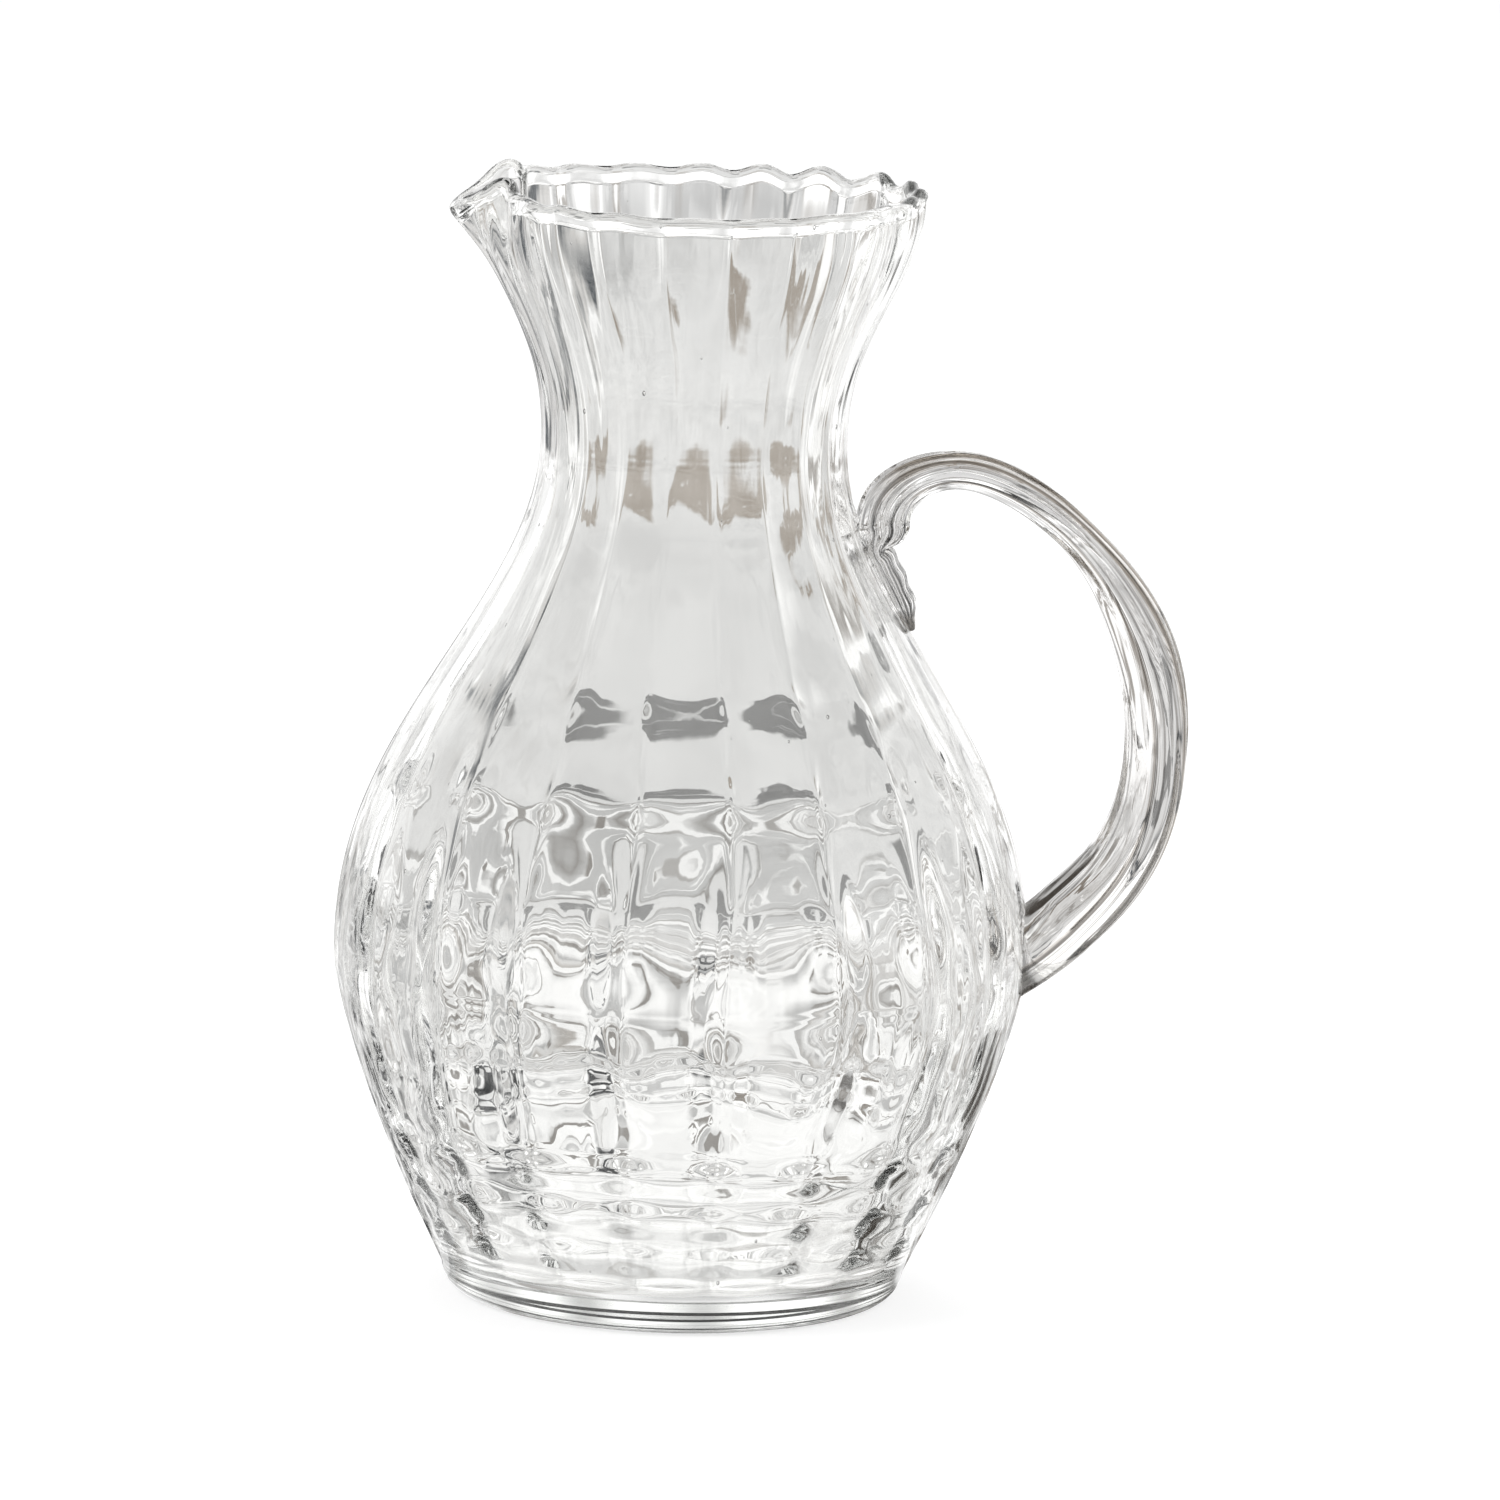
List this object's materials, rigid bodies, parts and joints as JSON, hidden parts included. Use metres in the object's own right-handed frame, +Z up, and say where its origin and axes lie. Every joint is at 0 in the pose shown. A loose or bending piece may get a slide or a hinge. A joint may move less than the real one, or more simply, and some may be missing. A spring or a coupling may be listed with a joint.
{
  "type": "water carafe",
  "caption": "Hand-blown clear glass water carafe with a full belly, ribbed wall, scalloped lip, short spout and an applied loop handle.",
  "frame": {"origin": "middle of the flat standing face under the base", "axes": "+Z up through the mouth, +X towards the handle, -X towards the spout"},
  "size_m": [0.1831, 0.1498, 0.2431],
  "materials": {
    "blown_glass": "blown clear soda glass, fire-bright, ribbed and dimpled",
    "base_glass": "thick clear soda glass, fire-bright",
    "lip_glass": "clear soda glass, fire-polished",
    "handle_glass": "drawn clear soda glass, fluted along its length"
  },
  "bodies": {
    "root": {"body_wall": "blown_glass", "base_disc": "base_glass", "lip_wrap": "lip_glass", "handle": "handle_glass", "handle_tail": "handle_glass", "lower_seal": "handle_glass"}
  },
  "joints": []
}
